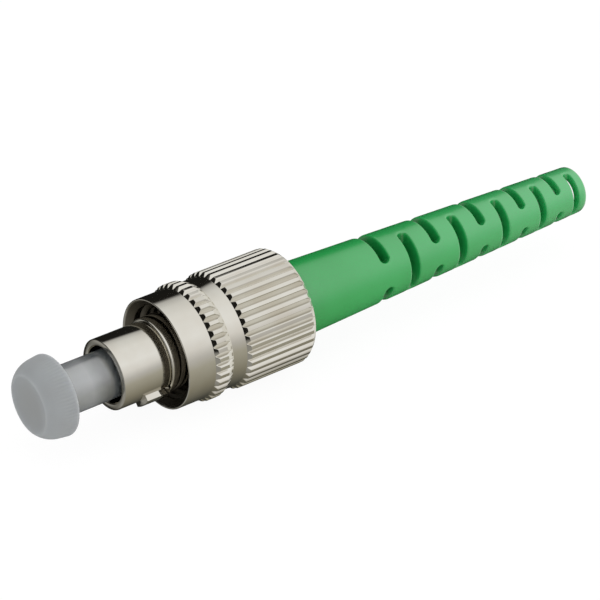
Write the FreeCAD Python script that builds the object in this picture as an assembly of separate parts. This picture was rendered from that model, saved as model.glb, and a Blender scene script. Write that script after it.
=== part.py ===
import FreeCAD, Part
import math
import os

# Fibre-optic plug with a threaded coupling nut, a slotted bend-relief boot and a dust cap.
# Millimetres. The plug's axis is X: the mating end faces -X, the cable end faces +X, Z is up.
# The origin is the centre of the front rim of the plug body's sleeve.
# Angles about the axis are in degrees from +Y towards +Z.

# Clearances
slide_clearance = 0.08      # radial, between pieces that slide in each other
bond_gap = 0.01             # radial, at pressed, screwed and glued seats
stop_gap = 0.05             # axial, between a sliding piece and its stop
seat_gap = 0.02             # axial, between pieces that sit against each other

# Ferrule
ferrule_radius = 1.25
ferrule_length = 10.5
ferrule_protrusion = 2.3    # tip in front of the sleeve's rim
ferrule_travel = 1.5
ferrule_chamfer = 0.35
polish_angle = 8.0          # slant of the end face
capillary_radius = 0.0625
lead_in_radius = 0.5        # cone at the ferrule's rear
lead_in_length = 0.8

# Ferrule holder
holder_floor = 0.3          # metal behind the ferrule
holder_notches = 4
notch_width = 0.8
notch_depth = 0.4
notch_clearance = 0.08      # between a notch and the rib in it
tail_radius = 1.1
tail_reach = 0.65           # past the end of the spring chamber

# Guide tube in the holder's tail
guide_radius = 0.7
guide_wall = 0.2
guide_reach = 1.5           # past the crimp post

# Plug body
sleeve_radius = 3.0
sleeve_bore_radius = 2.4
sleeve_length = 4.35
rim_chamfer = 0.12
relief_width = 0.1
relief_depth = 0.2
key_width = 2.02
key_front = 2.1             # behind the rim
key_height = 0.45           # above the sleeve
key_angle = -132.0
flange_radius = 3.2
flange_thickness = 1.55
flange_chamfer = 0.1
web_thickness = 0.65
web_clearance = 0.2         # round the ferrule
chamber_radius = 2.1
barrel_radius = 2.75
thread_step = 0.25          # the barrel's screwed end is this much smaller
thread_length = 2.4
rib_setback = 0.8           # the rib ends this far in front of the holder's back

# Spring
wire_radius = 0.2
coil_clearance = 0.25       # between the coil and the chamber's wall
coil_turns = 5.5
coil_steps = 12             # straight stretches in each turn
wire_sides = 6

# Coupling nut
nut_length = 12.6
nut_setback = 0.55          # mouth behind the flange's front, with the nut slid back
nut_travel = 4.85
nut_wall = 0.42             # metal outside the ring's groove
nut_thread_radius = 4.0     # nominal radius of the internal thread
nut_lip_width = 0.6
lip_clearance = 0.17        # between the lip and the plug's flange
boot_room = 0.42            # between the nut's rear bore and the boot
mouth_edge = 0.08           # outer bevel of the mouth
mouth_rim = 0.05            # width of the mouth's flat, between its outer and inner bevels
knurl_height = 0.3
knurl_teeth = 40
knurl_land = 0.3            # width of a tooth's flat top
knurl_floor = 0.03          # width of the flat between two teeth
narrow_band_start = 2.55    # from the mouth
narrow_band_length = 1.75
narrow_band_chamfer = 0.6   # at the rear
wide_band_start = 5.65
wide_band_chamfer = 0.4     # at the rear
band_front_chamfer = 0.3    # of both bands

# Retaining ring
ring_thickness = 0.8
ring_seat = 0.45            # depth of the ring's groove behind the nut's rear bore
ring_clearance = 0.12       # round the barrel
ring_split = 1.6

# Rear body
collar_radius = 3.2
collar_flats = 5.9          # across the two wrench flats
end_wall = 1.0
post_radius = 1.75
post_bore_clearance = 0.15  # round the holder's tail
post_length = 6.3

# Crimp sleeve
crimp_wall = 0.35
yarn_room = 0.1             # radial, for the cable's yarn over the post
crimp_length = 8.0

# Boot
cable_radius = 1.4
cable_clearance = 0.05
boot_length = 34.46
boot_front_radius = 3.33
boot_end_radius = 2.1
boot_end_chamfer = 0.2
boot_throat = 0.8           # length of the cone behind the crimp sleeve
slot_rows = 10
slot_first = 11.7           # first row, behind the boot's front
slot_last = 1.25            # last row, in front of the boot's end
slot_pitch_step = 0.12      # each pitch is this much shorter than the one before
slot_width = 0.95           # first row
slot_width_step = 0.037     # each row is this much narrower than the one before
slot_half_angle = 67.0
boot_roll = -14.0           # turn of the slot pattern about the axis

# Dust cap
cap_stem_radius = 2.05
cap_stem_room = 0.75        # between the stem and the web, with the ferrule pushed in
cap_bore_clearance = 0.03
cap_air = 2.13              # in front of the ferrule's tip
cap_head_length = 2.65
cap_head_radius = 3.47      # at the back
cap_front_radius = 2.52     # at the front's edge
cap_back_chamfer = 0.15
cap_side_round = 2.2        # of the side behind the front's edge
cap_round_start = 39.0      # the side's first slope, at the front's edge
cap_round_end = 83.0        # its slope where it runs on straight to the back
cap_front_land = 0.2        # flat ring round the dimple
cap_dimple_depth = 0.3
round_steps = 5             # bevels along each rounded edge

# Stations along the axis
flange_front = sleeve_length + relief_width
flange_back = flange_front + flange_thickness
web_back = flange_front + web_thickness
ferrule_tip = -ferrule_protrusion
ferrule_back = ferrule_tip + ferrule_length
holder_back = ferrule_back + holder_floor
ring_front = flange_back + nut_travel + stop_gap
ring_back = ring_front + ring_thickness
collar_front = ring_back + stop_gap
chamber_end = collar_front + thread_length
collar_back = chamber_end + end_wall
post_end = collar_back + post_length
nut_mouth = flange_front + nut_setback
nut_rear = nut_mouth + nut_length
boot_front = collar_back + seat_gap
boot_back = boot_front + boot_length
crimp_back = boot_front + crimp_length
cap_stem_end = flange_front - ferrule_travel - cap_stem_room
cap_head_back = ferrule_tip - cap_air
cap_front = cap_head_back - cap_head_length

# Radii that follow from a fit
holder_radius = chamber_radius - slide_clearance
thread_radius = barrel_radius - thread_step
coil_radius = chamber_radius - coil_clearance - wire_radius
post_bore_radius = tail_radius + post_bore_clearance
key_top_radius = sleeve_radius + key_height
nut_lip_radius = flange_radius + lip_clearance
nut_rear_bore_radius = boot_front_radius + boot_room
ring_radius = nut_rear_bore_radius + ring_seat
ring_groove_radius = ring_radius + slide_clearance
nut_radius = ring_groove_radius + nut_wall
knurl_radius = nut_radius + knurl_height
mouth_radius = nut_radius - mouth_edge - mouth_rim
crimp_bore_radius = post_radius + yarn_room
crimp_radius = crimp_bore_radius + crimp_wall
cable_bore_radius = cable_radius + cable_clearance

AXIS = FreeCAD.Vector(1, 0, 0)
CENTRE = FreeCAD.Vector(0, 0, 0)


def at(station, radius):
    """Point of a half section."""
    return FreeCAD.Vector(station, 0, radius)


def turn(edges):
    """Solid turned about the axis from the closed outline of a half section."""
    return Part.Face(Part.Wire(edges)).revolve(CENTRE, AXIS, 360)


def turned(*corners):
    """Solid turned about the axis from the corners (station, radius) of a half section."""
    return turn(Part.makePolygon([at(*corner) for corner in corners + corners[:1]]).Edges)


def tube(start, end, outer, inner):
    """Plain tube along the axis."""
    return turned((start, inner), (start, outer), (end, outer), (end, inner))


def block(start, end, width, bottom, top):
    """Box along the axis, centred in Y, between two heights above the axis."""
    corner = FreeCAD.Vector(start, -width / 2, bottom)
    return Part.makeBox(end - start, width, top - bottom, corner)


def rolled(shape, angle):
    """Copy of a shape that stands above the axis, turned about it by an angle from +Z."""
    copy = shape.copy()
    copy.rotate(CENTRE, AXIS, angle)
    return copy


def make_ferrule():
    """Ceramic rod with a capillary, a lead-in cone and a bevelled tip polished at a slant."""
    face_radius = ferrule_radius - ferrule_chamfer
    nose = ferrule_tip - face_radius * math.tan(math.radians(polish_angle))
    body = turned(
        (nose, capillary_radius),
        (nose, face_radius),
        (nose + ferrule_chamfer, ferrule_radius),
        (ferrule_back, ferrule_radius),
        (ferrule_back, lead_in_radius),
        (ferrule_back - lead_in_length, capillary_radius),
    )
    size = 4 * ferrule_radius
    waste = block(ferrule_tip - size, ferrule_tip, size, -size / 2, size / 2)
    waste.rotate(at(ferrule_tip, 0), FreeCAD.Vector(0, 1, 0), polish_angle)
    return body.cut(rolled(waste, key_angle - 90))


def make_ferrule_flange():
    """Notched holder with a socket for the ferrule and a tail for the guide tube."""
    socket = ferrule_radius + bond_gap
    socket_end = ferrule_back + seat_gap
    tail_end = chamber_end + tail_reach
    tail_bore = guide_radius + bond_gap
    body = turned(
        (web_back, socket),
        (web_back, holder_radius),
        (holder_back, holder_radius),
        (holder_back, tail_radius),
        (tail_end, tail_radius),
        (tail_end, tail_bore),
        (socket_end, tail_bore),
        (socket_end, socket),
    )
    notch = block(web_back, holder_back, notch_width, holder_radius - notch_depth, chamber_radius)
    for i in range(holder_notches):
        body = body.cut(rolled(notch, key_angle - 90 + 360 * i / holder_notches))
    return body


def make_guide_tube():
    """Thin tube from the back of the ferrule into the crimp sleeve."""
    return tube(holder_back, post_end + guide_reach, guide_radius, guide_radius - guide_wall)


def make_plug_body():
    """Sleeve with its key, a flange, and a barrel that holds the spring chamber."""
    web_hole = ferrule_radius + web_clearance
    relief_radius = sleeve_radius - relief_depth
    barrel_end = chamber_end - stop_gap
    body = turned(
        (0, sleeve_bore_radius + rim_chamfer),
        (0, sleeve_radius - rim_chamfer),
        (rim_chamfer, sleeve_radius),
        (sleeve_length, sleeve_radius),
        (sleeve_length, relief_radius),
        (flange_front, relief_radius),
        (flange_front, flange_radius - flange_chamfer),
        (flange_front + flange_chamfer, flange_radius),
        (flange_back, flange_radius),
        (flange_back, barrel_radius),
        (collar_front, barrel_radius),
        (collar_front, thread_radius),
        (barrel_end, thread_radius),
        (barrel_end, chamber_radius),
        (web_back, chamber_radius),
        (web_back, web_hole),
        (flange_front, web_hole),
        (flange_front, sleeve_bore_radius),
        (rim_chamfer, sleeve_bore_radius),
    )
    key_foot = (sleeve_bore_radius + sleeve_radius) / 2
    key = block(key_front, sleeve_length, key_width, key_foot, key_top_radius)
    key = key.common(tube(key_front, sleeve_length, key_top_radius, sleeve_bore_radius))
    rib_top = holder_radius - notch_depth + notch_clearance
    rib_foot = (chamber_radius + barrel_radius) / 2
    rib = block(web_back, holder_back - rib_setback, notch_width - 2 * notch_clearance, rib_top, rib_foot)
    return body.fuse([rolled(key, key_angle - 90), rolled(rib, key_angle - 90)]).removeSplitter()


def make_ferrule_spring():
    """Compression coil between the holder and the rear body's end wall."""
    start = holder_back + wire_radius + seat_gap
    length = chamber_end - wire_radius - seat_gap - start
    steps = int(coil_turns * coil_steps)
    path = []
    for i in range(steps + 1):
        angle = 2 * math.pi * i / coil_steps
        y = coil_radius * math.cos(angle)
        z = coil_radius * math.sin(angle)
        path.append(FreeCAD.Vector(start + length * i / steps, y, z))
    along = (path[1] - path[0]).normalize()
    across = FreeCAD.Vector(0, wire_radius, 0)
    aside = along.cross(across)
    corners = []
    for i in range(wire_sides):
        angle = 2 * math.pi * (i + 0.5) / wire_sides
        corners.append(path[0] + across * math.cos(angle) + aside * math.sin(angle))
    section = Part.makePolygon(corners + corners[:1])
    mitred = 1
    return Part.makePolygon(path).makePipeShell([section], True, False, mitred)


def knurl_tooth(start, end, front_chamfer, rear_chamfer):
    """One tooth along the axis: a trapezoid rooted in the nut's wall, bevelled at its ends."""
    half_top = knurl_land / 2
    half_base = math.pi * nut_radius / knurl_teeth - knurl_floor / 2
    root = nut_radius - knurl_height
    half_root = 2 * half_base - half_top
    section = Part.makePolygon([
        FreeCAD.Vector(start, -half_root, root),
        FreeCAD.Vector(start, -half_top, knurl_radius),
        FreeCAD.Vector(start, half_top, knurl_radius),
        FreeCAD.Vector(start, half_root, root),
        FreeCAD.Vector(start, -half_root, root),
    ])
    tooth = Part.Face(section).extrude(FreeCAD.Vector(end - start, 0, 0))
    for station, chamfer in ((start, front_chamfer), (end, -rear_chamfer)):
        wedge = Part.makePolygon([
            at(station, nut_radius),
            at(station, knurl_radius + knurl_height),
            at(station + 2 * chamfer, knurl_radius + knurl_height),
            at(station, nut_radius),
        ])
        wedge.translate(FreeCAD.Vector(0, -knurl_radius, 0))
        tooth = tooth.cut(Part.Face(wedge).extrude(FreeCAD.Vector(0, 2 * knurl_radius, 0)))
    return tooth


def make_coupling_nut():
    """Threaded nut with a lip and a groove for its ring, and two bands of straight knurling."""
    groove_front = ring_front - seat_gap
    groove_back = ring_back + seat_gap
    lip_front = groove_front - nut_lip_width
    core = turned(
        (nut_mouth, mouth_radius),
        (nut_mouth, nut_radius - mouth_edge),
        (nut_mouth + mouth_edge, nut_radius),
        (nut_rear, nut_radius),
        (nut_rear, nut_rear_bore_radius),
        (groove_back, nut_rear_bore_radius),
        (groove_back, ring_groove_radius),
        (groove_front, ring_groove_radius),
        (groove_front, nut_lip_radius),
        (lip_front, nut_lip_radius),
        (lip_front, nut_thread_radius),
        (nut_mouth + mouth_radius - nut_thread_radius, nut_thread_radius),
    )
    narrow_start = nut_mouth + narrow_band_start
    narrow_end = narrow_start + narrow_band_length
    wide_start = nut_mouth + wide_band_start
    narrow_tooth = knurl_tooth(narrow_start, narrow_end, band_front_chamfer, narrow_band_chamfer)
    wide_tooth = knurl_tooth(wide_start, nut_rear, band_front_chamfer, wide_band_chamfer)
    teeth = []
    for i in range(knurl_teeth):
        angle = 360 * i / knurl_teeth
        teeth += [rolled(narrow_tooth, angle), rolled(wide_tooth, angle)]
    return core.fuse(teeth).removeSplitter()


def make_retaining_ring():
    """Split ring that sits in the nut's groove and pulls on the flange's back."""
    ring = tube(ring_front, ring_back, ring_radius, barrel_radius + ring_clearance)
    return ring.cut(block(ring_front, ring_back, ring_split, 0, 2 * ring_radius))


def make_rear_body():
    """Collar screwed on the barrel, with wrench flats, an end wall for the spring and a crimp post."""
    socket = thread_radius + bond_gap
    body = turned(
        (collar_front, socket),
        (collar_front, collar_radius),
        (collar_back, collar_radius),
        (collar_back, post_radius),
        (post_end, post_radius),
        (post_end, post_bore_radius),
        (chamber_end, post_bore_radius),
        (chamber_end, socket),
    )
    flat = block(collar_front, collar_back, 2 * collar_radius, collar_flats / 2, collar_radius)
    return body.cut([flat, rolled(flat, 180)])


def make_crimp_sleeve():
    """Straight tube over the crimp post and the front of the cable."""
    return tube(boot_front, crimp_back, crimp_radius, crimp_bore_radius)


def boot_slots(row):
    """The two opposite through slots of a row, a quarter turn from those of the row before."""
    gaps = slot_rows - 1
    span = boot_length - slot_first - slot_last
    first_pitch = span / gaps + slot_pitch_step * (gaps - 1) / 2
    station = boot_front + slot_first + row * first_pitch - slot_pitch_step * row * (row - 1) / 2
    half_width = (slot_width - slot_width_step * row) / 2
    inner = cable_radius / 2
    outer = 2 * boot_front_radius
    section = Part.makePolygon([
        at(station - half_width, inner),
        at(station - half_width, outer),
        at(station + half_width, outer),
        at(station + half_width, inner),
        at(station - half_width, inner),
    ])
    sector = Part.Face(section).revolve(CENTRE, AXIS, 2 * slot_half_angle)
    first = boot_roll + 90 * (row % 2) - slot_half_angle
    return [rolled(sector, first), rolled(sector, first + 180)]


def make_boot():
    """Tapered soft tube, bored for the crimp sleeve and the cable, with staggered slots."""
    bore = crimp_radius + bond_gap
    throat = crimp_back + seat_gap
    body = turned(
        (boot_front, bore),
        (boot_front, boot_front_radius),
        (boot_back - boot_end_chamfer, boot_end_radius),
        (boot_back, boot_end_radius - boot_end_chamfer),
        (boot_back, cable_bore_radius),
        (throat + boot_throat, cable_bore_radius),
        (throat, bore),
    )
    for row in range(slot_rows):
        body = body.cut(boot_slots(row))
    return body


def rounded(station, radius, size, first_angle, last_angle):
    """Corners along an arc of a half section, with its angles from the direction of -X."""
    corners = []
    for i in range(round_steps + 1):
        angle = math.radians(first_angle + (last_angle - first_angle) * i / round_steps)
        corners.append((station - size * math.cos(angle), radius + size * math.sin(angle)))
    return corners


def make_dust_cap():
    """Soft cap: a bored stem, and a head with a rounded side and a dimpled front."""
    bore = ferrule_radius + cap_bore_clearance
    round_angle = math.radians(cap_round_start)
    round_station = cap_front + cap_side_round * math.cos(round_angle)
    round_radius = cap_front_radius - cap_side_round * math.sin(round_angle)
    dimple_radius = cap_front_radius - cap_front_land
    dish_size = (dimple_radius**2 + cap_dimple_depth**2) / (2 * cap_dimple_depth)
    dish_angle = math.degrees(math.asin(dimple_radius / dish_size))
    dish_floor = cap_front + cap_dimple_depth
    outline = [
        (cap_head_back, 0),
        (cap_head_back, bore),
        (cap_stem_end, bore),
        (cap_stem_end, cap_stem_radius),
        (cap_head_back, cap_stem_radius),
        (cap_head_back, cap_head_radius - cap_back_chamfer),
        (cap_head_back - cap_back_chamfer, cap_head_radius),
    ]
    outline += rounded(round_station, round_radius, cap_side_round, cap_round_end, cap_round_start)
    outline += rounded(dish_floor - dish_size, 0, dish_size, 180 - dish_angle, 180)
    return turned(*outline)


def main():
    pieces = {
        "dust_cap": make_dust_cap(),
        "ferrule": make_ferrule(),
        "ferrule_flange": make_ferrule_flange(),
        "guide_tube": make_guide_tube(),
        "ferrule_spring": make_ferrule_spring(),
        "plug_body": make_plug_body(),
        "coupling_nut": make_coupling_nut(),
        "retaining_ring": make_retaining_ring(),
        "rear_body": make_rear_body(),
        "crimp_sleeve": make_crimp_sleeve(),
        "boot": make_boot(),
    }
    os.makedirs("parts", exist_ok=True)
    for name, shape in pieces.items():
        shape.exportStep("parts/" + name + ".step")


main()
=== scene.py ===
import math

import bmesh
import bpy
import numpy as np
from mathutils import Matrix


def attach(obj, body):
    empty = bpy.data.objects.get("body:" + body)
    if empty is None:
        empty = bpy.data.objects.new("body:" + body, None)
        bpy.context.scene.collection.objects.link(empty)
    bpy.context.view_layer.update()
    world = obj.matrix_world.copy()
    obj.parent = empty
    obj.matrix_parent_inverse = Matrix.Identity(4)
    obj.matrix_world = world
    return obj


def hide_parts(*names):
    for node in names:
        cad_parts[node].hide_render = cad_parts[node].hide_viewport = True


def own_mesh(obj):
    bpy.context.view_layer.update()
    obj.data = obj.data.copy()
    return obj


# Looks of a fibre-optic plug: nickel-plated metal, a green slotted boot and a milky dust cap.
# Sizes are millimetres along the plug's axis X and about it; angles run from +Y towards +Z.

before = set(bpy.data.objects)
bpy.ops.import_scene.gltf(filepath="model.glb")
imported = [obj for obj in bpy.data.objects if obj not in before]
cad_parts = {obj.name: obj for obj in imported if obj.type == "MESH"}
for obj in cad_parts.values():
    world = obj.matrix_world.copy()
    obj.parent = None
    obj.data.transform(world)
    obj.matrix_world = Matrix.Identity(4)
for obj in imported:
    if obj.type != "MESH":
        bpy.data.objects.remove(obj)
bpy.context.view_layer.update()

MM = 0.001
SAME_POINT = 1e-5 * MM


# Shapes

def softened(corners, steps=4, closed=True):
    """Outline whose corners are arcs. Rows of corners are station, radius from the axis and size of the
    arc. An arc's ends lie at size / tan(half the corner's angle) from the corner, and its points are the
    sine-weighted means of its two end spokes. An open outline keeps its first and last corner sharp."""
    corners = np.array(corners, float)
    place = corners[:, :2]
    size = corners[:, 2:]
    back = np.roll(place, 1, axis=0) - place
    ahead = np.roll(place, -1, axis=0) - place
    back /= np.linalg.norm(back, axis=1, keepdims=True)
    ahead /= np.linalg.norm(ahead, axis=1, keepdims=True)
    half = np.arccos(np.clip(np.sum(back * ahead, axis=1, keepdims=True), -1, 1)) / 2
    middle = back + ahead
    middle /= np.linalg.norm(middle, axis=1, keepdims=True)
    centre = place + middle * size / np.sin(half)
    first = place + back * size / np.tan(half) - centre
    last = place + ahead * size / np.tan(half) - centre
    turn = (np.pi - 2 * half)[:, None, :]
    share = np.linspace(0, 1, steps)[None, :, None]
    spokes = np.sin((1 - share) * turn) * first[:, None] + np.sin(share * turn) * last[:, None]
    arcs = centre[:, None] + spokes / np.sin(turn)
    if closed:
        return arcs.reshape(-1, 2)
    return np.vstack([place[:1], arcs[1:-1].reshape(-1, 2), place[-1:]])


def round_axis(station, radius, angle):
    """Points at a station, a distance from the axis and an angle about it: x, r cos a, r sin a."""
    station, radius, angle = np.broadcast_arrays(station, radius, angle)
    return np.stack([station, radius * np.cos(angle), radius * np.sin(angle)], axis=-1)


def even_angles(count, first=0.0):
    """Angles evenly round the axis, in radians, from a first one in degrees."""
    return np.radians(first) + 2 * np.pi * np.arange(count) / count


def grid_faces(rows, columns, closed_rows):
    """Quads between neighbours of a grid of points whose columns close on themselves."""
    row = np.arange(rows if closed_rows else rows - 1)[:, None]
    column = np.arange(columns)[None, :]
    below = (row + 1) % rows
    beside = (column + 1) % columns
    quads = [
        row * columns + column,
        below * columns + column,
        below * columns + beside,
        row * columns + beside,
    ]
    return np.stack(np.broadcast_arrays(*quads), axis=-1).reshape(-1, 4)


def make_piece(name, points, faces, material, body, node=None, crease=32.0):
    """Mesh of a closed surface: points that coincide become one, faces turn outwards, and edges that bend
    by more than the crease, in degrees, stay sharp."""
    mesh = bpy.data.meshes.new(name)
    mesh.from_pydata((points.reshape(-1, 3) * MM).tolist(), [], faces.tolist())
    work = bmesh.new()
    work.from_mesh(mesh)
    bmesh.ops.remove_doubles(work, verts=work.verts, dist=SAME_POINT)
    bmesh.ops.recalc_face_normals(work, faces=work.faces)
    work.to_mesh(mesh)
    work.free()
    mesh.polygons.foreach_set("use_smooth", np.ones(len(mesh.polygons), bool))
    mesh.set_sharp_from_angle(angle=math.radians(crease))
    mesh.materials.append(material)
    piece = bpy.data.objects.new(name, mesh)
    bpy.context.scene.collection.objects.link(piece)
    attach(piece, body)
    if node:
        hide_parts(node)
    return piece


# Coupling nut

NUT_MOUTH = 5.0
NUT_REAR = 17.6
NUT_PLAIN = 4.7
KNURL_TOP = 5.0
KNURL_TEETH = 40
THREAD_BORE = 4.0


def coupling_nut(material):
    """Turned outline through the tops of the knurl, cut down between the teeth. The radius at a station
    and an angle is the lesser of the outline's and the tooth's: tooth = top - height * cut, with cut from 0
    on a tooth's land to the depth in the middle of a groove, half straight and half cosine. The bevels of
    the knurl get more stations, where the outline and the teeth cross."""
    edge = 0.035
    mouth, rear_edge = 4.57, 4.7
    lip, ring_groove, rear_bore = 3.37, 4.28, 3.75
    outline = softened([
        (NUT_MOUTH, mouth, 0.03),
        (NUT_MOUTH, NUT_PLAIN, 0.07),
        (7.55, NUT_PLAIN, 0.02),
        (7.85, KNURL_TOP, 0.08),
        (8.7, KNURL_TOP, 0.15),
        (9.3, NUT_PLAIN, 0.06),
        (10.65, NUT_PLAIN, 0.02),
        (10.95, KNURL_TOP, 0.08),
        (17.2, KNURL_TOP, 0.15),
        (NUT_REAR, rear_edge, 0.12),
        (NUT_REAR, rear_bore, 0.08),
        (11.72, rear_bore, edge),
        (11.72, ring_groove, edge),
        (10.88, ring_groove, edge),
        (10.88, lip, edge),
        (10.28, lip, edge),
        (10.28, THREAD_BORE, edge),
        (5.57, THREAD_BORE, edge),
    ])
    least_rise, least_radius = 0.12, 4.65
    bevel_stations = 12
    length = np.concatenate([[0], np.cumsum(np.hypot(*np.diff(outline, axis=0).T))])
    rise = np.abs(np.diff(outline[:, 1]))
    lower = np.minimum(outline[:-1, 1], outline[1:, 1])
    bevels = np.flatnonzero((rise > least_rise) & (lower > least_radius))
    stops = [length] + [np.linspace(length[i], length[i + 1], bevel_stations) for i in bevels]
    stops = np.unique(np.concatenate(stops))
    outline = np.stack([np.interp(stops, length, outline[:, i]) for i in (0, 1)], axis=1)

    tooth_points = 16
    flank = 0.31
    depth = 0.95
    count = KNURL_TEETH * tooth_points
    from_groove = np.abs((np.arange(count) % tooth_points) / tooth_points - 0.5)
    ramp = np.clip(1 - from_groove / flank, 0, 1)
    cut = depth * (0.5 * ramp + 0.25 * (1 - np.cos(np.pi * ramp)))
    tooth = KNURL_TOP - (KNURL_TOP - NUT_PLAIN) * cut
    radius = np.minimum(outline[:, 1:], tooth[None, :])
    points = round_axis(outline[:, :1], radius, even_angles(count, first=90)[None, :])
    faces = grid_faces(len(outline), count, True)
    make_piece("nut_shell", points, faces, material, "nut", "coupling_nut")


def nut_thread(material):
    """Ridge of the internal thread: a trapezoid carried along a helix, station = first + turns * pitch,
    which fades into the bore at both ends."""
    first = 5.75
    pitch = 0.75
    turns = 5.8
    turn_steps = 72
    runouts = 14
    least_fade = 0.05
    steps = int(turns * turn_steps)
    along = np.linspace(0, 1, steps)[:, None]
    fade = np.clip(np.minimum(along, 1 - along) * runouts, least_fade, 1)
    across = np.array([-0.34, -0.11, -0.06, 0.06, 0.11, 0.34])[None, :]
    height = np.array([-0.05, 0.37, 0.4, 0.4, 0.37, -0.05])[None, :]
    station = first + along * turns * pitch + across * fade
    radius = THREAD_BORE - np.where(height > 0, height * fade, height)
    points = round_axis(station, radius, -2 * np.pi * turns * along)
    columns = across.shape[1]
    faces = grid_faces(steps, columns, False)
    ends = np.array([[0, 1, 4, 5], [1, 2, 3, 4]])
    faces = np.vstack([faces, ends, ends + (steps - 1) * columns])
    make_piece("nut_thread", points, faces, material, "nut")


# Plug body

KEY_ANGLE = -132.0
SLEEVE_BACK = 4.35
TURNED_COLUMNS = 144


def plug_body(material):
    """Turned sleeve, flange and barrel, with the arcs of its turned edges: an outline carried round
    the axis."""
    edge = 0.03
    sleeve, flange, neck = 3.0, 3.2, 2.8
    barrel, screw = 2.75, 2.5
    bore, web, chamber = 2.4, 1.45, 2.1
    bevel = 0.1
    flange_front, flange_back = 4.45, 6.0
    barrel_end, screw_end, web_back = 11.75, 14.1, 5.1
    outline = softened([
        (0.0, bore + bevel, 0.05),
        (0.0, sleeve, 0.1),
        (SLEEVE_BACK, sleeve, 0.04),
        (SLEEVE_BACK, neck, edge),
        (flange_front, neck, edge),
        (flange_front, flange, 0.1),
        (flange_back, flange, 0.06),
        (flange_back, barrel, edge),
        (barrel_end, barrel, edge),
        (barrel_end, screw, edge),
        (screw_end, screw, edge),
        (screw_end, chamber, edge),
        (web_back, chamber, edge),
        (web_back, web, edge),
        (flange_front, web, edge),
        (flange_front, bore, edge),
        (bevel, bore, 0.05),
    ])
    points = round_axis(outline[:, :1], outline[:, 1:], even_angles(TURNED_COLUMNS)[None, :])
    faces = grid_faces(len(outline), TURNED_COLUMNS, True)
    make_piece("plug_shell", points, faces, material, "plug", "plug_body")


def plug_key(material):
    """Bar along the sleeve, with flat sides and a top round the plug's axis. The section shrinks
    a little at both ends, which softens their edges, and then to a point."""
    half = 1.01
    top, middle, foot = 3.45, 3.1, 2.75
    start, soft = 2.1, 0.06
    reach = np.arcsin(half / top)
    sweep = np.linspace(-reach, reach, 9)
    across = np.concatenate([[-half], top * np.sin(sweep), [half]])[None, :]
    height = np.concatenate([[foot], top * np.cos(sweep), [foot]])[None, :] - middle
    inset = np.array([half, soft, soft / 3, 0, 0, soft / 3, soft, half])[:, None]
    from_start = start + np.array([0, 0, soft / 3, soft])
    to_end = SLEEVE_BACK - np.array([soft, soft / 3, 0, 0])
    station = np.concatenate([from_start, to_end])[:, None]
    across = across * (1 - inset / half)
    height = middle + height * np.where(inset < half, 1 - inset / (top - middle), 0)
    roll = np.radians(KEY_ANGLE)
    side = height * np.cos(roll) - across * np.sin(roll)
    up = height * np.sin(roll) + across * np.cos(roll)
    points = np.stack(np.broadcast_arrays(station, side, up), axis=-1)
    faces = grid_faces(len(station), across.shape[1], False)
    make_piece("plug_key", points, faces, material, "plug")


# Boot

BOOT_FRONT = 15.17
BOOT_END = 49.63
BOOT_RADIUS = 3.33
BOOT_END_RADIUS = 2.1
BOOT_ROUND = 0.2
BOOT_BORE = 1.45
SLOT_ROWS = 10


def boot_radius(station):
    """Straight taper of the boot's outside, which has its end's radius where the rounded end begins."""
    run = BOOT_END - BOOT_ROUND - BOOT_FRONT
    return BOOT_RADIUS + (BOOT_END_RADIUS - BOOT_RADIUS) * (station - BOOT_FRONT) / run


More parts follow.
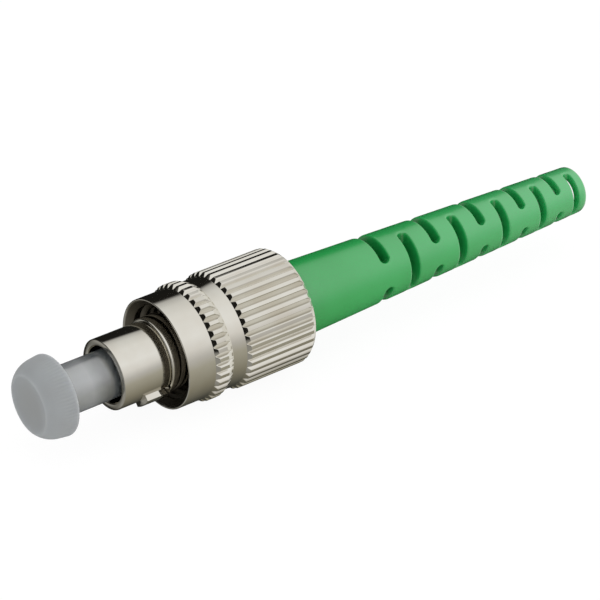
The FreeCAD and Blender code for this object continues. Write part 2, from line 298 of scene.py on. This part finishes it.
def boot(material):
    """Plain front, ten rows of two slots and a rounded end, which share the points of their borders.
    Each slot lies in a cell that is half a turn wide. Lines lead from the cell's border p to the slot's
    edge c + d u, where c is the nearest point of the slot's middle line and u points from c to p:
    over the outside, round the slot's lip, down its drafted wall and back to p along the bore."""
    row = np.arange(SLOT_ROWS)
    gaps = SLOT_ROWS - 1
    plain_front, plain_end = 11.7, 1.25
    widest, narrower, closer = 0.95, 0.037, 0.12
    first = BOOT_FRONT + plain_front
    last = BOOT_END - plain_end
    pitch = (last - first) / gaps + closer * (gaps - 1) / 2
    station = first + row * pitch - closer * row * (row - 1) / 2
    width = widest - narrower * row
    last_border = 49.1
    border = np.concatenate([[first - pitch / 2], (station[1:] + station[:-1]) / 2, [last_border]])

    half_turn = 32
    side = 8
    across = np.linspace(-1, 1, half_turn + 1)
    upright = np.linspace(0, 1, side + 1)
    loop_across = np.concatenate([across[:-1], np.ones(side), across[:0:-1], -np.ones(side)])
    loop_along = np.concatenate([np.zeros(half_turn), upright[:-1], np.ones(half_turn), upright[:0:-1]])

    half_sweep = np.radians(67)
    reach = boot_radius(station)[:, None]
    cell = (border[1:] - border[:-1])[:, None]
    p_across = loop_across[None, :] * reach * np.pi / 2
    p_along = border[:-1, None] + loop_along[None, :] * cell - station[:, None]
    straight = reach * half_sweep - width[:, None] / 2
    c_across = np.clip(p_across, -straight, straight)
    u_across = p_across - c_across
    u_along = p_along
    length = np.hypot(u_across, u_along)
    u_across = u_across / length
    u_along = u_along / length

    # Layers of points: five over the outside, four round the lip, two down the wall and two on the bore
    lip = 0.17
    bend = np.radians([22.5, 45, 67.5, 90])
    drawn = np.concatenate([[0, 0.35, 0.7, 0.9, 1], np.ones(4), [1, 1], [0.5, 0]])[:, None]
    spread = np.concatenate([np.ones(5), 1 - np.sin(bend), np.zeros(4)])[:, None] * lip
    sunk = np.concatenate([np.zeros(5), 1 - np.cos(bend), np.ones(4)])[:, None] * lip
    inward = np.concatenate([np.zeros(9), [0.5, 1], [1, 1]])[:, None]

    side_draft, end_draft = 0.08, 0.22
    slot_angle = 76.0
    draft = (side_draft + end_draft * u_across**2)[:, None]
    offset = width[:, None, None] / 2 + spread[None] - draft * inward[None]
    s_across = p_across[:, None] * (1 - drawn) + (c_across[:, None] + offset * u_across[:, None]) * drawn
    s_along = p_along[:, None] * (1 - drawn) + offset * u_along[:, None] * drawn
    x = station[:, None, None] + s_along
    radius = (boot_radius(x) - sunk) * (1 - inward) + BOOT_BORE * inward
    middle = np.radians(slot_angle + 90.0 * (row % 2))[:, None, None]
    angle = middle + s_across / reach[:, None]
    cells = np.stack([round_axis(x, radius, angle), round_axis(x, radius, angle + np.pi)])
    layers, columns = x.shape[1:]
    faces = grid_faces(layers, columns, False)
    starts = np.arange(2 * SLOT_ROWS)[:, None, None] * layers * columns
    parts = [(cells.reshape(-1, 3), (faces[None] + starts).reshape(-1, 4))]

    start = border[0]
    end = border[-1]
    seat, seat_back, throat = 2.21, 23.19, 23.99
    front = [
        (start, BOOT_BORE, 0),
        (throat, BOOT_BORE, 0.1),
        (seat_back, seat, 0.1),
        (BOOT_FRONT, seat, 0.08),
        (BOOT_FRONT, BOOT_RADIUS, 0.15),
        (start, boot_radius(start), 0),
    ]
    rear = [
        (end, boot_radius(end), 0),
        (BOOT_END, boot_radius(BOOT_END), 0.32),
        (BOOT_END, BOOT_BORE, 0.12),
        (end, BOOT_BORE, 0),
    ]
    turns = even_angles(2 * half_turn, slot_angle - 90)[None, :]
    for corners in (front, rear):
        outline = softened(corners, 6, False)
        points = round_axis(outline[:, :1], outline[:, 1:], turns)
        parts.append((points.reshape(-1, 3), grid_faces(len(outline), 2 * half_turn, False)))
    counts = np.cumsum([0] + [len(points) for points, _ in parts])
    points = np.vstack([points for points, _ in parts])
    faces = np.vstack([faces + count for (_, faces), count in zip(parts, counts)])
    make_piece("boot_shell", points, faces, material, "plug", "boot")


# Dust cap

def dust_cap(frosted, polished):
    """Turned stem and head. Fine serrations lower the head's side by up to twice a half depth:
    radius = outline - half depth * (1 - cos(serrations * a)) * weight, where the weight is 1 at the back
    of the side and fades out towards the front."""
    front, back, stem_end = -7.08, -4.43, 2.2
    head, stem, bore = 3.47, 2.05, 1.28
    dish_depth, dish_radius = 0.3, 2.32
    round_station, round_radius, round_size = -5.37, 1.136, 2.2
    dish = np.linspace(0, 1, 14)[:, None]
    floor = np.hstack([front + dish_depth * (1 - dish**2), dish_radius * dish])
    bend = np.radians(np.linspace(39, 83, 16))[:, None]
    side = np.hstack([round_station - round_size * np.cos(bend), round_radius + round_size * np.sin(bend)])
    rim = softened([
        (*floor[-2], 0),
        (*floor[-1], 0.7),
        (*side[0], 0.28),
        (*side[2], 0),
    ], 5, False)
    rest = softened([
        (*side[-1], 0),
        (back, head, 0.35),
        (back, stem, 0.15),
        (stem_end, stem, 0.2),
        (stem_end, bore, 0.1),
        (back, bore, 0.1),
        (back, 0.0, 0),
    ], 8, False)
    outline = np.vstack([floor[:-2], rim, side[3:-1], rest])

    serrations = 72
    serration_points = 6
    half_depth = 0.015
    fade_start, fade_length = -6.4, 1.2
    side_start = 2.9
    count = serrations * serration_points
    angle = even_angles(count)[None, :]
    weight = np.clip((outline[:, :1] - fade_start) / fade_length, 0, 1) * (outline[:, 1:] > side_start)
    radius = outline[:, 1:] - half_depth * (1 - np.cos(serrations * angle)) * weight
    points = round_axis(outline[:, :1], radius, angle)
    faces = grid_faces(len(outline), count, False)
    cap = make_piece("cap_shell", points, faces, frosted, "cap", "dust_cap")
    cap.data.materials.append(polished)
    middle = np.empty(3 * len(cap.data.polygons))
    cap.data.polygons.foreach_get("center", middle)
    stem_start = back + 0.1
    on_stem = middle[::3] > stem_start * MM
    cap.data.polygons.foreach_set("material_index", on_stem.astype(np.int32))


# Ferrule, its spring and the rear body

def ferrule(material):
    """Turned rod whose end face leans 8 degrees towards the key: on the face, station = tip + r t cos b,
    with t the slope and b the angle from the key. The face meets the 45 degree bevel at the radius
    face (1 + t) / (1 - t cos b)."""
    columns = 96
    tip, back, funnel_front = -2.3, 8.2, 7.4
    face, rod, hole, funnel = 0.9, 1.25, 0.0625, 0.5
    slope = math.tan(math.radians(8))
    angle = even_angles(columns)[None, :]
    lean = slope * np.cos(angle - np.radians(KEY_ANGLE))
    rim = face * (1 + slope) / (1 - lean)
    share = np.array([0.07, 0.35, 0.7, 0.97, 1])[:, None]
    face_radius = rim * share
    face_station = tip + face_radius * lean
    bevel = tip - face * slope
    body = softened([
        (bevel + 0.3, 1.2, 0),
        (bevel + 0.35, rod, 0.05),
        (back, rod, 0.05),
        (back, funnel, 0.05),
        (funnel_front, hole, 0.02),
        (tip + 0.1, hole, 0),
    ], 4, False)
    station = np.vstack([face_station, np.broadcast_to(body[:, :1], (len(body), columns))])
    radius = np.vstack([face_radius, np.broadcast_to(body[:, 1:], (len(body), columns))])
    points = round_axis(station, radius, angle)
    faces = grid_faces(len(station), columns, True)
    make_piece("ferrule_rod", points, faces, material, "ferrule_unit", "ferrule")


def ferrule_spring(material):
    """Round wire carried along a helix. Its centre goes from the first station to the last, on the coil's
    radius; its rim is wire * cos b further out and wire * sin b along the helix's normal, which leans from
    the axis by the helix's slope. The rim shrinks to a point at both ends."""
    first, last, wall = 8.73, 13.92, 14.15
    coil, wire, turns, travel = 1.65, 0.2, 5.5, 1.5
    steps, rim_points = 133, 12
    along = np.linspace(0, 1, steps)
    along = np.concatenate([along[:1], along, along[-1:]])[:, None]
    size = np.full_like(along, wire)
    size[[0, -1]] = 0
    around = even_angles(rim_points)[None, :]
    slope = math.atan((last - first) / (2 * math.pi * turns * coil))
    lean = size * np.sin(around)
    turn = 2 * math.pi * turns * along - lean * math.sin(slope) / coil
    station = first + (last - first) * along + lean * math.cos(slope)
    points = round_axis(station, coil + size * np.cos(around), turn)
    faces = grid_faces(len(along), rim_points, False)
    piece = make_piece("spring_coil", points, faces, material, "plug", "ferrule_spring")
    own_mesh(piece)


def rear_body(material):
    """Turned collar and post. Two flats cut the collar: radius is at most flat / |sin a|."""
    edge = 0.03
    collar, post, bore, socket = 3.2, 1.75, 1.25, 2.51
    front, collar_back, floor, back = 11.75, 15.15, 14.15, 21.45
    outline = softened([
        (front, socket, edge),
        (front, collar, 0.1),
        (collar_back, collar, 0.1),
        (collar_back, post, edge),
        (back, post, 0.08),
        (back, bore, edge),
        (floor, bore, edge),
        (floor, socket, edge),
    ])
    flat, least_sine = 2.95, 0.5
    angle = even_angles(TURNED_COLUMNS)[None, :]
    limit = flat / np.maximum(np.abs(np.sin(angle)), least_sine)
    radius = np.minimum(outline[:, 1:], limit)
    points = round_axis(outline[:, :1], radius, angle)
    faces = grid_faces(len(outline), TURNED_COLUMNS, True)
    make_piece(
        "collar_and_post", points, faces, material, "plug", "rear_body", crease=25,
    )


# Materials

def linear(code):
    """Linear colour of an sRGB hex code."""
    value = np.array([int(code[i:i + 2], 16) for i in (1, 3, 5)]) / 255
    value = np.where(value <= 0.04045, value / 12.92, ((value + 0.055) / 1.055) ** 2.4)
    return (*value.tolist(), 1.0)


def add(tree, kind, inputs, **settings):
    """One node with its settings, and with values or links on its inputs."""
    node = tree.nodes.new(kind)
    for name, value in settings.items():
        setattr(node, name, value)
    for name, value in inputs.items():
        if isinstance(value, bpy.types.NodeSocket):
            tree.links.new(value, node.inputs[name])
        else:
            node.inputs[name].default_value = value
    return node


def empty_material(name):
    """Material with no nodes yet."""
    material = bpy.data.materials.new(name)
    material.use_nodes = True
    material.node_tree.nodes.clear()
    return material, material.node_tree


def per_mm(size):
    """Texture scale for features of a size in millimetres."""
    return 1 / (size * MM)


def cloudy_tones(tree, place, patch, low, high):
    """Colour that drifts between two tones in patches of a size in millimetres. Each tone comes with
    the level of the noise at which it is reached."""
    cloud = add(tree, "ShaderNodeTexNoise", {"Vector": place, "Scale": per_mm(patch), "Detail": 3.0})
    tint = add(tree, "ShaderNodeValToRGB", {"Fac": cloud.outputs["Fac"]})
    for stop, (level, tone) in zip(tint.color_ramp.elements, (low, high)):
        stop.position = level
        stop.color = linear(tone)
    return tint.outputs["Color"]


def from_axis(tree, place):
    """Distance from the plug's axis: the length of (0, y, z)."""
    across = add(tree, "ShaderNodeVectorMath", {0: place, 1: (0, 1, 1)}, operation="MULTIPLY")
    reach = add(tree, "ShaderNodeVectorMath", {0: across.outputs["Vector"]}, operation="LENGTH")
    return reach.outputs["Value"]


def moulded_grain(tree, place, size):
    """Bump of a moulded skin: a faint grain of a size in millimetres."""
    grain = add(tree, "ShaderNodeTexNoise", {"Vector": place, "Scale": per_mm(size), "Detail": 2.0})
    bump = add(tree, "ShaderNodeBump", {
        "Height": grain.outputs["Fac"], "Strength": 0.06, "Distance": 0.03 * MM,
    })
    return bump.outputs["Normal"]


def nickel_plating(name, bore=0.0):
    """Bright nickel on turned brass: a warm grey mirror, a little blurred by the turning lines.
    Within the bore's radius the metal is rougher, and its colour turns to a darker tone, painted shade for
    the recess."""
    material, tree = empty_material(name)
    place = add(tree, "ShaderNodeTexCoord", {}).outputs["Object"]
    tint = cloudy_tones(tree, place, 2.5, (0.35, "#D8D4CA"), (0.7, "#DEDCD4"))
    stretch = add(tree, "ShaderNodeMapping", {"Vector": place, "Scale": (1.0, 0.04, 0.04)})
    lines = add(tree, "ShaderNodeTexNoise", {
        "Vector": stretch.outputs["Vector"], "Scale": per_mm(0.12), "Detail": 4.0,
    }).outputs["Fac"]
    rough = add(tree, "ShaderNodeMapRange", {"Value": lines, "To Min": 0.05, "To Max": 0.12})
    bump = add(tree, "ShaderNodeBump", {"Height": lines, "Strength": 0.04, "Distance": 0.02 * MM})
    outside = add(tree, "ShaderNodeMapRange", {
        "Value": from_axis(tree, place), "From Min": (bore - 0.1) * MM, "From Max": bore * MM,
    }).outputs["Result"]
    # painted shade: within the bore's radius the colour turns to a darker tone
    colour = add(tree, "ShaderNodeMix", {
        "Factor": outside, "A": linear("#78736A"), "B": tint,
    }, data_type="RGBA")
    blur = add(tree, "ShaderNodeMapRange", {
        "Value": outside, "To Min": 0.35, "To Max": rough.outputs["Result"],
    })
    shader = add(tree, "ShaderNodeBsdfPrincipled", {
        "Base Color": colour.outputs["Result"],
        "Metallic": 1.0,
        "Roughness": blur.outputs["Result"],
        "Normal": bump.outputs["Normal"],
    })
    add(tree, "ShaderNodeOutputMaterial", {"Surface": shader.outputs["BSDF"]})
    return material


def green_elastomer():
    """Moulded elastomer: a deep green with a soft satin sheen and a faint grain. Below the skin, in the
    slots and the bore, it has painted shade, a darker tone. Towards its thin end it has painted light, a
    paler tone, and it is glossier there."""
    material, tree = empty_material("moulded_green_elastomer")
    place = add(tree, "ShaderNodeTexCoord", {}).outputs["Object"]
    tint = cloudy_tones(tree, place, 4.0, (0.3, "#1DA24B"), (0.75, "#23AC53"))
    station = add(tree, "ShaderNodeSeparateXYZ", {"Vector": place}).outputs["X"]
    along = add(tree, "ShaderNodeMapRange", {
        "Value": station, "From Min": (BOOT_FRONT + 7) * MM, "From Max": BOOT_END * MM,
    }).outputs["Result"]
    # painted light: the outside tone grows paler towards the thin end
    painted_light_share = add(tree, "ShaderNodeMapRange", {"Value": along, "To Max": 0.6})
    outer = add(tree, "ShaderNodeMix", {
        "Factor": painted_light_share.outputs["Result"], "A": tint, "B": linear("#2ABE68"),
    }, data_type="RGBA")
    taper = (boot_radius(BOOT_FRONT) - boot_radius(BOOT_END)) / (BOOT_END - BOOT_FRONT)
    skin = boot_radius(0)
    cone = add(tree, "ShaderNodeMath", {
        0: station, 1: taper, 2: from_axis(tree, place),
    }, operation="MULTIPLY_ADD")
    outside = add(tree, "ShaderNodeMapRange", {
        "Value": cone.outputs["Value"], "From Min": (skin - 0.35) * MM, "From Max": (skin - 0.1) * MM,
    })
    # painted shade: a darker tone below the skin, in the slots and the bore, which also grows paler towards
    # the end
    inner = add(tree, "ShaderNodeMix", {
        "Factor": along, "A": linear("#178C40"), "B": linear("#22AA57"),
    }, data_type="RGBA")
    colour = add(tree, "ShaderNodeMix", {
        "Factor": outside.outputs["Result"], "A": inner.outputs["Result"], "B": outer.outputs["Result"],
    }, data_type="RGBA")
    shader = add(tree, "ShaderNodeBsdfPrincipled", {
        "Base Color": colour.outputs["Result"],
        "Roughness": 0.26,
        "IOR": 1.6,
        "Specular IOR Level": 1.0,
        "Coat Weight": along,
        "Coat Roughness": 0.26,
        "Coat IOR": 1.65,
        "Normal": moulded_grain(tree, place, 0.2),
    })
    add(tree, "ShaderNodeOutputMaterial", {"Surface": shader.outputs["BSDF"]})
    return material


def milky_polyethylene(name, dark, light, roughness, ior, shine):
    """Moulded polyethylene that light enters: milky grey, frosted on the head and polished on the stem.
    The dish in the front has painted shade, a little darker tone for the bore that lies behind it. The
    stem where it enters the sleeve has painted shade too, a darker tone, because little light reaches the
    inside there."""
    material, tree = empty_material(name)
    place = add(tree, "ShaderNodeTexCoord", {}).outputs["Object"]
    tint = cloudy_tones(tree, place, 3.0, (0.3, dark), (0.75, light))
    middle = add(tree, "ShaderNodeVectorMath", {0: place, 1: (-7.0 * MM, 0, 0)}, operation="DISTANCE")
    # painted shade: the dish in the front is given a slightly darker tone
    dish = add(tree, "ShaderNodeMapRange", {
        "Value": middle.outputs["Value"], "From Min": 0.6 * MM, "From Max": 2.3 * MM,
    }, interpolation_type="SMOOTHSTEP")
    colour = add(tree, "ShaderNodeMix", {
        "Factor": dish.outputs["Result"], "A": linear("#A2A4A4"), "B": tint,
    }, data_type="RGBA")
    station = add(tree, "ShaderNodeSeparateXYZ", {"Vector": place}).outputs["X"]
    # painted shade: the stem darkens where it enters the sleeve
    painted_stem_shade = add(tree, "ShaderNodeMapRange", {
        "Value": station, "From Min": -2.3 * MM, "From Max": -0.9 * MM,
    })
    colour = add(tree, "ShaderNodeMix", {
        "Factor": painted_stem_shade.outputs["Result"], "A": colour.outputs["Result"], "B": linear("#646869"),
    }, data_type="RGBA")
    shader = add(tree, "ShaderNodeBsdfPrincipled", {
        "Base Color": colour.outputs["Result"],
        "Roughness": roughness,
        "IOR": ior,
        "Specular IOR Level": shine,
        "Subsurface Weight": 1.0,
        "Subsurface Radius": (1.0, 1.0, 1.1),
        "Subsurface Scale": 1.5 * MM,
        "Normal": moulded_grain(tree, place, 0.3),
    })
    add(tree, "ShaderNodeOutputMaterial", {"Surface": shader.outputs["BSDF"]})
    return material


def plain_finish(name, dark, light, patch, roughness, metallic, ior):
    """Even finish of a hidden piece: two close tones in patches of a size in millimetres."""
    material, tree = empty_material(name)
    place = add(tree, "ShaderNodeTexCoord", {}).outputs["Object"]
    shader = add(tree, "ShaderNodeBsdfPrincipled", {
        "Base Color": cloudy_tones(tree, place, patch, (0.35, dark), (0.7, light)),
        "Roughness": roughness,
        "Metallic": metallic,
        "IOR": ior,
    })
    add(tree, "ShaderNodeOutputMaterial", {"Surface": shader.outputs["BSDF"]})
    return material


# Studio

WHITE = (1, 1, 1, 1)


def seen_directly(tree, path):
    """1 for what the camera sees, straight or through a clear piece, and 0 for other light."""
    seen = add(tree, "ShaderNodeMath", {
        0: path.outputs["Is Camera Ray"], 1: path.outputs["Is Transmission Ray"],
    }, operation="MAXIMUM")
    return seen.outputs[0]


def pale_floor():
    """White table under the plug, which keeps a soft shadow: nine tenths of what the camera sees of it is
    plain white, and the rest takes the light. Mirrors see the studio in its place."""
    half_width = 2000
    level = -5.02
    side = np.array([-1.0, 1.0]) * half_width
    y, x = np.meshgrid(side, side, indexing="ij")
    points = np.stack([x, y, np.full_like(x, level)], axis=-1).reshape(-1, 3)
    mesh = bpy.data.meshes.new("table")
    mesh.from_pydata((points * MM).tolist(), [], [[0, 1, 3, 2]])
    material, tree = empty_material("white_table")
    path = add(tree, "ShaderNodeLightPath", {})
    share = add(tree, "ShaderNodeMath", {0: seen_directly(tree, path), 1: 0.9}, operation="MULTIPLY")
    matt = add(tree, "ShaderNodeBsdfDiffuse", {"Color": linear("#F7F7F7")})
    white = add(tree, "ShaderNodeEmission", {"Color": WHITE, "Strength": 1.04})
    mixed = add(tree, "ShaderNodeMixShader", {
        0: share.outputs[0], 1: matt.outputs[0], 2: white.outputs[0],
    })
    add(tree, "ShaderNodeOutputMaterial", {"Surface": mixed.outputs[0]})
    mesh.materials.append(material)
    table = bpy.data.objects.new("table", mesh)
    bpy.context.scene.collection.objects.link(table)
    table.visible_glossy = False


def studio_world():
    """Soft white light all round, strongest from the front and above. Mirrors see the studio. A ramp gives
    its tone by the angle about the plug's axis: a long softbox over the plug and in front of it, a dark
    room behind it, and a table whose tone falls off under it. Beyond the cap there are a light wall over
    a grey table and, on the wall, a dark ring that widens at the back. Beyond the boot it is bright."""
    world = bpy.data.worlds.new("studio")
    bpy.context.scene.world = world
    world.use_nodes = True
    world.cycles.sampling_method = "NONE"
    tree = world.node_tree
    tree.nodes.clear()
    way = add(tree, "ShaderNodeTexCoord", {}).outputs["Generated"]
    parts = add(tree, "ShaderNodeSeparateXYZ", {"Vector": way})
    x, y, z = parts.outputs["X"], parts.outputs["Y"], parts.outputs["Z"]

    angle = add(tree, "ShaderNodeMath", {0: z, 1: y}, operation="ARCTAN2")
    share = add(tree, "ShaderNodeMapRange", {
        "Value": angle.outputs[0], "From Min": -math.pi, "From Max": math.pi,
    })
    room = add(tree, "ShaderNodeValToRGB", {"Fac": share.outputs[0]})
    tones = [
        (-180, "#CBC9C6"),
        (-160, "#B2AFA2"),
        (-120, "#918D7E"),
        (-75, "#53524A"),
        (-50, "#2F2F2B"),
        (0, "#1C1C1A"),
        (37, "#201F1D"),
        (46, "#C5C4C2"),
        (62, "#E6E6E4"),
        (90, "#F9F9F8"),
        (137, "#FFFFFF"),
        (160, "#F0EEEC"),
        (180, "#CBC9C6"),
    ]
    while len(room.color_ramp.elements) < len(tones):
        room.color_ramp.elements.new(0.5)
    for stop, (degrees, tone) in zip(room.color_ramp.elements, tones):
        stop.position = (degrees + 180) / 360
        stop.color = linear(tone)

    high = add(tree, "ShaderNodeMapRange", {"Value": z, "From Min": -0.2, "From Max": -0.12})
    wall = add(tree, "ShaderNodeMix", {
        "Factor": high.outputs[0], "A": linear("#9B9A96"), "B": linear("#D6D4D0"),
    }, data_type="RGBA")
    left = add(tree, "ShaderNodeMapRange", {"Value": x, "From Min": -0.4, "From Max": -0.5})
    mirror = add(tree, "ShaderNodeMix", {
        "Factor": left.outputs[0], "A": room.outputs["Color"], "B": wall.outputs["Result"],
    }, data_type="RGBA")

    inner = add(tree, "ShaderNodeMapRange", {"Value": x, "From Min": -0.95, "From Max": -0.91})
    back = add(tree, "ShaderNodeMapRange", {
        "Value": y, "From Min": 0.35, "From Max": 0.5, "To Max": 0.2,
    })
    reach = add(tree, "ShaderNodeMath", {0: x, 1: back.outputs[0]}, operation="SUBTRACT")
    outer = add(tree, "ShaderNodeMapRange", {
        "Value": reach.outputs[0], "From Min": -0.6, "From Max": -0.67,
    })
    ring = add(tree, "ShaderNodeMath", {0: inner.outputs[0], 1: outer.outputs[0]}, operation="MULTIPLY")
    ring = add(tree, "ShaderNodeMath", {0: ring.outputs[0], 1: high.outputs[0]}, operation="MULTIPLY")
    mirror = add(tree, "ShaderNodeMix", {
        "Factor": ring.outputs[0], "A": mirror.outputs["Result"], "B": linear("#201F1D"),
    }, data_type="RGBA")
    end = add(tree, "ShaderNodeMapRange", {"Value": x, "From Min": 0.62, "From Max": 0.8})
    mirror = add(tree, "ShaderNodeMix", {
        "Factor": end.outputs["Result"], "A": mirror.outputs["Result"], "B": linear("#F0EFEA"),
    }, data_type="RGBA")

    strongest = (0.2, -0.68, 0.7)
    towards = add(tree, "ShaderNodeVectorMath", {0: way, 1: strongest}, operation="DOT_PRODUCT")
    soft = add(tree, "ShaderNodeMapRange", {
        "Value": towards.outputs["Value"], "From Min": -0.8, "From Max": 1.0, "To Min": 0.3, "To Max": 1.15,
    })
    path = add(tree, "ShaderNodeLightPath", {})
    tone = add(tree, "ShaderNodeMix", {
        "Factor": path.outputs["Is Glossy Ray"], "A": soft.outputs[0], "B": mirror.outputs["Result"],
    }, data_type="RGBA")
    tone = add(tree, "ShaderNodeMix", {
        "Factor": seen_directly(tree, path), "A": tone.outputs["Result"], "B": WHITE,
    }, data_type="RGBA")
    light = add(tree, "ShaderNodeBackground", {"Color": tone.outputs["Result"], "Strength": 1.0})
    add(tree, "ShaderNodeOutputWorld", {"Surface": light.outputs[0]})


def photo_camera():
    """Camera where the photograph was taken from."""
    heading, elevation = -37.45, 31.346
    data = bpy.data.cameras.new("photo_camera")
    data.sensor_width = 36.0
    data.lens = 174.82
    data.clip_start = 0.01
    data.clip_end = 20.0
    camera = bpy.data.objects.new("photo_camera", data)
    bpy.context.scene.collection.objects.link(camera)
    camera.location = (-105.544 * MM, -163.318 * MM, 125.021 * MM)
    camera.rotation_mode = "XYZ"
    camera.rotation_euler = (math.radians(90 - elevation), 0, math.radians(heading))
    bpy.context.scene.camera = camera


nickel = nickel_plating("bright_nickel_on_turned_brass")
nut_nickel = nickel_plating("bright_nickel_with_painted_shade_in_the_bore", bore=4.55)
coupling_nut(nut_nickel)
nut_thread(nut_nickel)
plug_body(nickel)
plug_key(nickel)
rear_body(nickel)
boot(green_elastomer())

# The stem's index is above polyethylene's own 1.51, to mirror as strongly as the polished one does
frosted_head = milky_polyethylene(
    "frosted_milky_polyethylene", "#A0A2A3", "#A6AAAB", roughness=0.6, ior=1.51, shine=0.3,
)
polished_stem = milky_polyethylene(
    "polished_milky_polyethylene", "#9A9D9E", "#9FA2A3", roughness=0.12, ior=1.98, shine=1.0,
)
dust_cap(frosted_head, polished_stem)

# Polished ceramic is warm white and glossy, drawn steel satin grey, and extruded PTFE white and waxy
zirconia = plain_finish(
    "polished_zirconia", "#EDEBE4", "#F4F2EC", patch=1.5, roughness=0.12, metallic=0.0, ior=2.1,
)
steel = plain_finish(
    "drawn_spring_steel", "#9D9C98", "#ABAAA6", patch=0.8, roughness=0.3, metallic=1.0, ior=1.5,
)
ptfe = plain_finish(
    "extruded_ptfe", "#E4E4DF", "#EDEDE9", patch=1.0, roughness=0.35, metallic=0.0, ior=1.38,
)
ferrule(zirconia)
ferrule_spring(steel)
hidden_finishes = {
    "ferrule_flange": steel,
    "retaining_ring": steel,
    "guide_tube": ptfe,
    "crimp_sleeve": nickel,
}
for name, finish in hidden_finishes.items():
    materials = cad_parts[name].data.materials
    materials.clear()
    materials.append(finish)

pale_floor()
studio_world()
photo_camera()
bpy.context.scene.view_settings.view_transform = "Standard"
